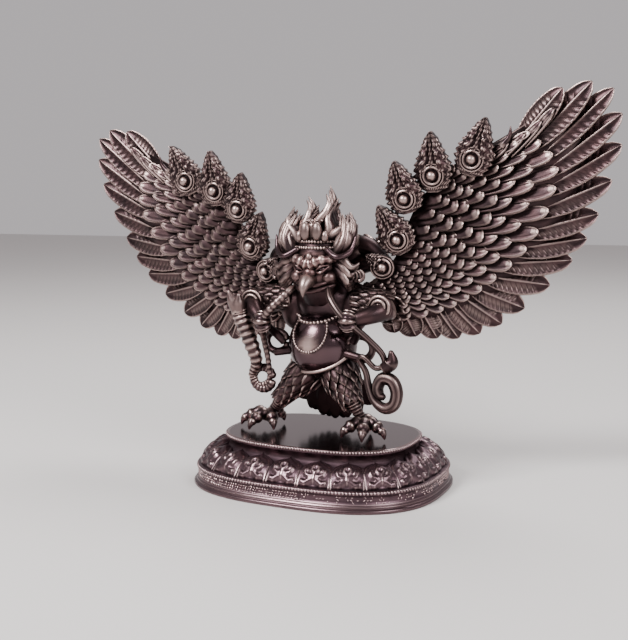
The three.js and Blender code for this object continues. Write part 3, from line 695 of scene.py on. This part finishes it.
BELLY_CENTRE, BELLY_RADII = (0, -0.5, 35), (13.8, 12.9, 14)
belly = mass(BELLY_CENTRE, BELLY_RADII, 40, 26)
x, y, z = (belly[0] - [0, 0, STAND]).T
ahead = np.clip(-y / 8, 0, 1)
painted_highlight = ahead * np.exp(-((x + 1) ** 2) / 32 - (z - 36.2) ** 2 / 20)  # painted highlight: the key light's glint on the belly, drawn bright in the colour
figure.add(
    belly,
    polish=ahead * (1 - painted_highlight),
    red=0.5 * ahead * np.exp(-((x - 7) ** 2 + (z - 29) ** 2) / 30),
    dark=0.25 - 1.6 * painted_highlight,
)
figure.add(mass((0, 1.5, 53), (12, 9, 11)), polish=0.3, dark=0.35)  # chest
figure.add(mass((0, 3, 27), (10.5, 8, 7)))  # hips
LEAF = [(0, 0.7), (0.35, 1), (0.65, 0.92), (0.85, 0.55), (1, 0.06)]
leaf = feather(np.linspace(0, 1, 5), np.linspace(-1, 1, 5), LEAF, np.zeros(5))


def shingle(keys, radii, rows, around, size, lift=0.1, span=(0.05, 0.92), behind=False):
    """Small feathers lapped down a limb, on its whole round or on its back alone."""
    spots, turns, sizes = [], [], []
    for row, t in enumerate(np.linspace(*span, rows)):
        (place,), (ahead,) = path_points(keys, np.array([t]))
        radius = float(np.interp(t, np.linspace(0, 1, len(radii)), radii))
        aside = np.cross(ahead, (0, -1, 0))
        aside /= np.linalg.norm(aside)
        other = np.cross(aside, ahead)
        for k in range(around):
            a = 2 * np.pi * (k + 0.5 * (row % 2)) / around
            out = aside * math.cos(a) + other * math.sin(a)
            if behind and out[1] < 0.2:
                continue
            spots.append(place + out * radius * 0.97 + [0, 0, STAND])
            turns.append(facing(ahead + lift * out, out))
            sizes.append(size)
    return copies("plumes", leaf, spots, turns, sizes, figure_copper)


spine = [(0, 2.5, 60), (0, 2, 46), (0, 1, 30)]
figure.add(shingle(spine, [9, 10.8, 11], 5, 14, (10, 6.5, 1.0), behind=True), dark=0.2)


ARCH_RADII = [2.2, 3.2, 4.2, 4.2, 5]
UPPER_ARM_RADII = [4.6, 5.2, 5.2]
ARMLET = (27.5, 51.8)  # the boss on each arm, across and up
for side, (x, y, z) in ((1, (17.6, -16, 47)), (-1, (18.7, -16, 45))):  # where each fist grips
    figure.add(mass((side * 12.5, 1, 49), (6.5, 4.5, 9)), dark=0.1)
    arch_over = flip(side, [(25, 4.6, 66), (20, 5.4, 72), (13, 6, 74), (8.5, 5.4, 66), (8, 4, 56)])
    figure.add(strand(arch_over, ARCH_RADII, 14, 16), dark=0.3)
    figure.add(shingle(arch_over, ARCH_RADII, 7, 9, (6, 3.8, 0.8), behind=True), dark=0.2)
    fold = flip(side, [(24, 4, 66.6), (17, 4.4, 67), (10, 4.4, 65)])
    figure.add(strand(fold, [2, 3.4, 4], 12, 10), dark=0.35)
    upper_arm = flip(side, [(12.5, 0, 53.4), (22, -0.5, 52.6), (29, -4, 50.8)])
    figure.add(strand(upper_arm, UPPER_ARM_RADII, 14, 10))
    figure.add(shingle(upper_arm, UPPER_ARM_RADII, 6, 10, (4.8, 3, 0.7)), dark=0.15)
    forearm = flip(side, [(29.5, -4, 51.5), (25, -11, 49), (x + 1, y + 1, z)])
    figure.add(strand(forearm, [5, 3.4, 2.6], 14, 10))
    fist = flip(side, [(x, y + 1, z + 3), (x, y - 0.6, z), (x, y + 1, z - 3)])
    knuckles = ringed(0.14, 8 * math.pi)
    figure.add(strand(fist, [2.8, 3.3, 2.7], 14, 22, chased=knuckles), polish=0.4)
    figure.add(mass((side * ARMLET[0], -8.6, ARMLET[1]), (4.9, 1.6, 4.9), 16, 8), dark=0.3)
    swirl = []  # the armlet's boss, a spiral of two and a half turns
    for a in np.linspace(0, 5 * math.pi, 24):
        r = 0.5 + 0.26 * a
        swirl.append((side * (ARMLET[0] + r * math.cos(a)), -10.4 + 0.22 * r, ARMLET[1] + r * math.sin(a)))
    figure.add(strand(swirl, [0.7, 0.75, 0.6], 6, 60), dark=-0.4)


# Jewellery, belt and scarf: cast with the body and chased. Two chains of beads lie on the belly
# over a raised belt that is rubbed bright, and the stiff scarf is tied in a loop on each side.
def on_belly(x, z):
    """The point of the belly's skin straight in front of x and z."""
    level = (z - BELLY_CENTRE[2]) / BELLY_RADII[2]
    depth = BELLY_RADII[1] * math.sqrt(max(0.02, 1 - (x / BELLY_RADII[0]) ** 2 - level**2))
    return (x, BELLY_CENTRE[1] - depth, z)


def hung(x, z, wide, deep, over, beads):
    """A chain on the belly: its middle, half width, drop, and how far its ends pass level."""
    angles = np.linspace(math.pi - over, 2 * math.pi + over, beads)
    return [on_belly(x + wide * math.cos(a), z + deep * math.sin(a)) for a in angles]


chain = hung(-1.1, 41, 7.3, 7.6, 0.5, 29)
collar = hung(-1.5, 47.5, 9, 3, 0, 20)
for line, size in ((chain, 0.55), (collar, 0.85)):
    spots = np.array(line) + [0, 0, STAND]
    figure.add(copies("necklace_beads", ball(), spots, (0, 0, 0), [size] * 3, figure_copper), polish=0.3)
figure.add(strand(chain, [0.42, 0.42], 6, 40))
belt = []
for a in np.linspace(-0.1, math.pi + 0.1, 15):
    belt.append(on_belly(12.9 * math.cos(a), 31.2 + 2.3 * math.cos(a) - 6 * math.sin(a)))
figure.add(strand(belt, [0.7, 0.8, 0.7], 8, 40, front=(0, 0, 1)), dark=-0.6)
for x, z, wide, high in ((17.4, 35, 5.2, 4.6), (-18.4, 35.6, 4.7, 4.1)):  # a loop's middle and half size
    loop = [
        (x + wide * math.cos(a) * math.copysign(1, x), -4, z + high * math.sin(a))
        for a in np.linspace(math.pi, 2.95 * math.pi, 11)
    ]
    figure.add(strand(loop, [1.5, 1.3], 10, 34, flat=1.2, chased=lambda t, a: 0.08 * np.cos(4 * a)))
for side, x, z in ((1, 17.5, 45), (-1, 18, 43.5)):
    figure.add(strand(flip(side, [(x - 3, -4, z - 8), (x, -7, z - 4), (x + 1, -13, z)]), [1.8, 1.4]))
    figure.add(strand(flip(side, [(10, -5, 33), (19, -6, 31.4)]), [1.8, 1.6]))


# Snakes: two, cast with the figure. Each runs from the beak over a fist and down its own side, the
# left one with ridges along it into a coil, the right one ribbed across and up to a raised head.
own_left = [
    (7, -11, 59), (10, -15.5, 55), (14.5, -17.5, 50), (18.2, -17.2, 46.5), (24.3, -12, 39.5),
    (28.8, -9, 33.5), (29, -8, 29.6), (25.6, -8, 28.4), (20.4, -8, 32.4), (18.4, -7, 31),
    (21, -7, 26.5), (22.4, -7.5, 21.5), (25, -8, 15.8), (29.4, -8.5, 13.2), (33.2, -8.5, 15),
    (34.2, -8, 19.8), (32.2, -8, 24), (28.2, -7.5, 24.4), (26.2, -7.5, 21), (27.2, -7.5, 17.8),
    (29.6, -7.5, 17.4),
]
own_right = [
    (-7, -11, 59), (-10.5, -15.5, 54.5), (-15.5, -17.5, 49), (-19, -16, 44), (-20.5, -11, 36),
    (-20.5, -8, 27.5), (-21.5, -6, 19.6), (-26, -6, 17.6), (-28.2, -7, 21.6), (-25.4, -9, 27.5),
    (-27.8, -11, 38), (-30.4, -12.5, 47), (-30.8, -13.5, 51),
]
left_radii = [1.2, 1.2, 1.05, 0.9, 0.9, 1.2, 1.9, 2.1, 2.0, 1.3]
coiled = strand(own_left, left_radii, 14, 100, chased=lambda t, a: 0.25 * np.cos(3.5 * a) ** 2)
figure.add(coiled, dark=np.tile([0.15, 0.75], len(coiled[0]) // 2))  # seven ridges, dark between
right_radii = [1.4, 1.6, 1.5, 1.3, 1.1, 1.1, 1.3, 1.8, 2.9, 3.4, 2.9]


def ribs(t, a):
    """Ribs across the right snake, deeper from its lowest bend up to its head."""
    return (0.05 + 0.05 * (t > 0.4)) * np.cos(t * 290)


# The right snake is brightened all over: rubbed ribs, with a painted highlight.
figure.add(strand(own_right, right_radii, 10, 190, chased=ribs), dark=-0.4)
# The right snake has a small loop beside the thigh.
ring = [(-24 + 4.4 * math.cos(a), -6, 20.5 + 4.4 * math.sin(a)) for a in np.linspace(0, 6.2, 12)]
figure.add(strand(ring, [1.7, 1.7], 10, 60, chased=ringed(0.07, 110)))
for jaw in ((-34.4, -15.5, 56.5), (-29.6, -15.5, 55.5)):  # the open mouth of the upright snake, brightened like it with a painted highlight
    keys = [(-30.6, -13.2, 48), (jaw[0] * 0.6 - 12.4, -14.4, 52.5), jaw]
    figure.add(strand(keys, [3.2, 2.3, 0.4], 10, 10), dark=-0.4)
# A pointed boss stands on the left snake over its coil.
figure.add(strand([(28.5, -8, 28), (32, -8, 31), (32, -9, 35.8)], [2.4, 2.8, 0.7]))


# Legs and talons: cast with the body. The thighs are chased with lapped plumes and the bare shanks
# with rings, and four jointed toes with hooked claws on each foot are rubbed bright on top.
TOES = ((-52, 12), (-4, 13.5), (44, 11.5), (168, 8.5))  # degrees round the ankle, reach


def joints(t, a):
    """Swellings across a toe, as far as its claw."""
    return 0.12 * np.cos(t * 26) * (t < 0.72)


for hip, knee, ankle, turn, thigh in (
    ((5.5, 0, 27), (13.5, -5, 15.5), (19, -2, 4), 20, [7.8, 7.2, 5.2, 4.4, 2.8]),
    ((-4.5, 0, 26), (-15.6, -4, 14), (-23.8, -1, 4), -8, [7.4, 6.4, 4.4, 3.8, 2.6]),
):
    # The thighs are darkened all over: painted shade from the belly above them.
    figure.add(strand([hip, knee], thigh, 16, 10), dark=0.4)
    figure.add(shingle([hip, knee], thigh, 6, 9, (7.4, 4.2, 0.7), 0.05, (0.02, 0.8)), dark=0.12)
    figure.add(strand([knee, ankle], [3.4, 2.2, 2.1], 14, 40, chased=ringed(0.09, 60)))
    for spread, reach in TOES:
        a = math.radians(turn + spread)
        toe = [
            (ankle[0] + s * reach * math.sin(a), ankle[1] - s * reach * math.cos(a), z)
            for s, z in ((0.05, 4), (0.34, 5.8), (0.64, 4.6), (0.88, 3), (0.97, 0.6))
        ]
        shape = strand(toe, [2.3, 2.5, 2.3, 1.5, 0.3], 10, 22, front=(0, 0, 1), chased=joints)
        figure.add(shape, polish=0.2, dark=-0.15)

# Tail: a fan of long cast feathers behind the legs, in two layers. It is darkened nearly to black
# all over.
spots, turns, sizes = [], [], []
for layer, count in ((0, 7), (1, 6)):
    for i in range(count):
        a = math.radians((i - (count - 1) / 2) * 96 / count)
        root = np.array([2 * math.sin(a), 8 + 1.5 * layer, 26])
        tip = np.array([24.6 * math.sin(a), 11.4 + 1.2 * layer, 27.6 - 25 * (1 - 0.12 * a * a) * math.cos(a)])
        spots.append(root + [0, 0, STAND])
        turns.append(facing(tip - root, (0, -1, 0)))
        sizes.append((np.linalg.norm(tip - root), 9.0, 0.9))
tail_feather = feather(closer(9), np.linspace(-1, 1, 7), FINGER)
figure.add(copies("tail_feathers", tail_feather, spots, turns, sizes, figure_copper), dark=1.05)


# Head: a bird's face cast with the body, with a hooked beak, knobbed brows and horns, under a low
# crown of beads and leaves. The brow and cheeks are reddish, the beak and crown rubbed bright.
skull = strand([(0, -1, 52), (0, -4, 61), (0, -3.4, 69), (0, -2, 76)], [6.5, 9, 9.4, 8.6], 28, 24)
figure.add(skull, dark=0.15, red=0.4 * (np.abs(skull[0][:, 2] - STAND - 66) < 6) * (skull[0][:, 1] < -5))
beak = [(0, -11, 61.6), (0, -15.6, 60.9), (0, -18, 58.8), (0, -18.6, 55.2)]
figure.add(strand(beak, [3.2, 3.0, 1.9, 0.25], 16, 18, front=(0, 0, 1)), dark=-0.7)
figure.add(mass((0, -12.6, 64.2), (2.8, 2.6, 2.4), 14, 10), red=0.5)
brow = [(-10, -7.4, 69.4), (-4.8, -12.8, 69.2), (0, -13, 67.6), (4.8, -12.8, 69.2), (10, -7.4, 69.4)]
figure.add(strand(brow, [1.4, 2.3, 1.4], 12, 36, chased=ringed(0.16, 58)), red=0.45, dark=-0.3)
figure.add(mass((0, -13.2, 69.6), (1.5, 1.3, 2.4), 12, 8), red=0.45, dark=-0.3)
for height, radius in ((60.2, 1.0), (58.2, 1.1)):
    mouth = [
        (-9, -7.6, height + 1.6), (-4, -12.6, height - 0.4), (0, -14, height - 1),
        (4, -12.6, height - 0.4), (9, -7.6, height + 1.6),
    ]
    figure.add(strand(mouth, [0.8 * radius, radius, 0.8 * radius], 10, 24), red=0.15)
for side in (1, -1):
    figure.add(mass((side * 4.7, -11.8, 65.8), (1.7, 1.4, 0.95), 16, 10), polish=0.8)
    for offset, turn in ((1.15, 0.7), (-1.1, 0.3)):
        lid = flip(side, [(2.2, -12.6, 64.6), (4.8, -13.4, 65.6 + offset), (7.6, -11, 66.6 + turn)])
        figure.add(strand(lid, [0.4, 0.6, 0.3], 8, 14), red=0.4)
    figure.add(mass((side * 6.4, -8.6, 62.4), (3.4, 3.6, 3), 16, 10), red=0.25, dark=-0.15)
    horn = flip(side, [(5.5, -10, 73.4), (11.3, -12, 70.4), (15.4, -9, 72.6), (17, -7, 78.6)])
    figure.add(strand(horn, [1.3, 1.2, 1.1, 0.3], 12, 26), polish=0.5)
    figure.add(mass((side * 2.4, -11.4, 80), (2.1, 1.7, 3.6), 16, 10), dark=-0.55)
    figure.add(mass((side * 5.4, -10.4, 78), (1.4, 1.3, 2.2), 12, 8), dark=-0.5)
for height, size, reach in ((73.6, 0.85, 10.4), (76, 0.7, 9.2), (84, 0.65, 4)):
    turn_round = np.linspace(-1.2, 1.2, int(reach * 2.2))
    spots = [(reach * math.sin(a), -1.8 - 9.6 * math.cos(a), height + STAND) for a in turn_round]
    figure.add(copies("crown_beads", ball(), spots, (0, 0, 0), [size] * 3, figure_copper), polish=0.3)

# Hair: cast with the head in tapered locks, chased with winding grooves and rubbed bright. Flames
# rise from a solid crest, locks sweep up beside the crown, and a mane and curls hang by the face.
FLAMES = [  # tips, across and up
    (-16.4, 83), (-12.4, 89.4), (-6.4, 93.4), (-1.6, 90),
    (3, 97.6), (6.8, 92.6), (11.4, 87.4), (15, 82.4),
]
figure.add(mass((0, 0.5, 76), (11.5, 6, 9.5)), dark=0.4)
chance = np.random.default_rng(11)
for number, (x, z) in enumerate(FLAMES):
    for k in range(6):
        shift = chance.uniform(-2.4, 2.4)
        deep = (-5.5, -3.2, -0.6, 1.6, 3.8, 5.2)[k]
        reach = 1 - 0.06 * abs(k - 2) - (0.1 if k > 3 else 0)
        tip = (x * reach + (0 if k == 2 else 0.6 * shift), deep * 0.4, 70 + (z - 70) * reach)
        bow = 3.2 * (1 if number % 2 else -1)
        lock = [
            (x * 0.34 + shift, deep, 71),
            (x * 0.66 + shift * 0.8 + bow * 0.5, deep, 71 + (tip[2] - 70) * 0.42),
            (x * 0.9 - bow * 0.6, deep * 0.8, 71 + (tip[2] - 70) * 0.75),
            tip,
        ]
        figure.add(strand(lock, [1.5, 2.4, 1.7, 0.12], 8, 8, chased=twisted(0.25, 5)), dark=-0.25)
for side in (1, -1):
    for k in range(9):
        wave = 0.9 * math.sin(k * 2.3)
        base = [(9.0, -9.4, 70.5), (12.2 + wave, -8.6, 76), (12.4 - wave, -6, 82), (9.8 + wave, -4, 86.5)]
        keys = [(a + 0.62 * (k - 4), b + 0.45 * abs(k - 4), c + 0.5 * wave) for a, b, c in base]
        figure.add(strand(flip(side, keys), [1.1, 1.6, 1.2, 0.12], 8, 8, chased=twisted(0.2, 4)), dark=-0.2)
    for k in range(12):
        wide, low = 6.5 + 1.0 * k, 68.5 - 0.45 * k
        curl = []
        for a in np.linspace(0, 4.8, 8):
            out, rise = 1.9 * math.cos(a + k), 2.4 * math.sin(a + k) - 0.3 * a
            curl.append((wide + out, -7.6 + 0.1 * k + 0.9 * math.sin(a), low + rise))
        figure.add(strand(flip(side, curl), [0.85, 0.75, 0.2], 6, 13))
    for k in range(9):
        drop, deep = k, k % 3
        keys = [
            (7.5, -7.5 + 0.5 * deep, 70.5 - 0.5 * drop), (11.8, -8.4 + deep, 69 - drop),
            (15.4 - 0.2 * drop, -7.6 + deep, 66.2 - drop), (18.4 - 0.45 * drop, -6.8, 68.2 - drop),
        ]
        figure.add(strand(flip(side, keys), [1.5, 2.2, 1.8, 0.4], 8, 10, chased=twisted(0.22, 4)), dark=0.05)

for k in range(15):
    x = (k - 7) * 1.35
    wave = 0.8 * math.sin(2 * k)
    fall = [(x, 5.5, 79), (x * 1.1, 8.6, 73), (x * 1.15 + wave, 9.4, 66), (x * 1.1, 8.6, 58.5)]
    figure.add(strand(fall, [1.3, 1.6, 1.3, 0.3], 8, 7), dark=0.1)

garuda = figure.piece("garuda_figure_casting", figure_copper)
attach(garuda, "root")
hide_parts("garuda_figure")


# Floor: a plain painted board under the plinth, pale, matt and slightly warm, with a fine grain in
# its gloss. It reaches 2 m each way, and its far edge is the line behind the statue.
board = bpy.data.materials.new("matt_painted_board")
board.use_nodes = True
tree = board.node_tree
tree.nodes.clear()
place = node(tree, "ShaderNodeTexCoord").outputs["Object"]
grain = node(tree, "ShaderNodeTexNoise", {"Vector": place, "Scale": 300, "Detail": 3})  # 3 mm
uneven = node(tree, "ShaderNodeMapRange", {0: grain.outputs[0], 3: 0.55, 4: 0.65})
paint = node(
    tree, "ShaderNodeBsdfPrincipled", {"Base Color": linear("cfcbc9"), "Roughness": uneven.outputs[0]}
)
node(tree, "ShaderNodeOutputMaterial", {"Surface": paint.outputs[0]})
HALF_FLOOR = 2.0
sheet = bpy.data.meshes.new("floor")
corners = [(x * HALF_FLOOR, y * HALF_FLOOR, 0) for x, y in ((-1, -1), (1, -1), (1, 1), (-1, 1))]
sheet.from_pydata(corners, [], [(0, 1, 2, 3)])
sheet.materials.append(board)
floor = bpy.data.objects.new("floor", sheet)
bpy.context.scene.collection.objects.link(floor)

# Light: an even pale room, with a large soft key from the upper left, a fill from the right and a
# rim from above and behind. The three are square soft panels aimed at the statue's middle.
world = bpy.data.worlds.new("studio")
bpy.context.scene.world = world
world.use_nodes = True
world.node_tree.nodes.clear()
sky = node(world.node_tree, "ShaderNodeBackground", {"Color": linear("c6c1c3"), "Strength": 0.95})
node(world.node_tree, "ShaderNodeOutputWorld", {"Surface": sky.outputs[0]})
AIM = Vector((0, 0, 0.08))
for name, place, size, power in (
    ("key", (-0.3, -0.6, 0.68), 0.3, 13.0),
    ("fill", (0.7, -0.35, 0.5), 0.4, 5.0),
    ("rim", (0.1, 0.5, 0.9), 0.5, 6.0),
):
    lamp = bpy.data.lights.new(name, "AREA")
    lamp.size = size
    lamp.energy = power
    light = bpy.data.objects.new(name, lamp)
    light.location = place
    light.rotation_euler = (AIM - Vector(place)).to_track_quat("-Z", "Y").to_euler()
    bpy.context.scene.collection.objects.link(light)
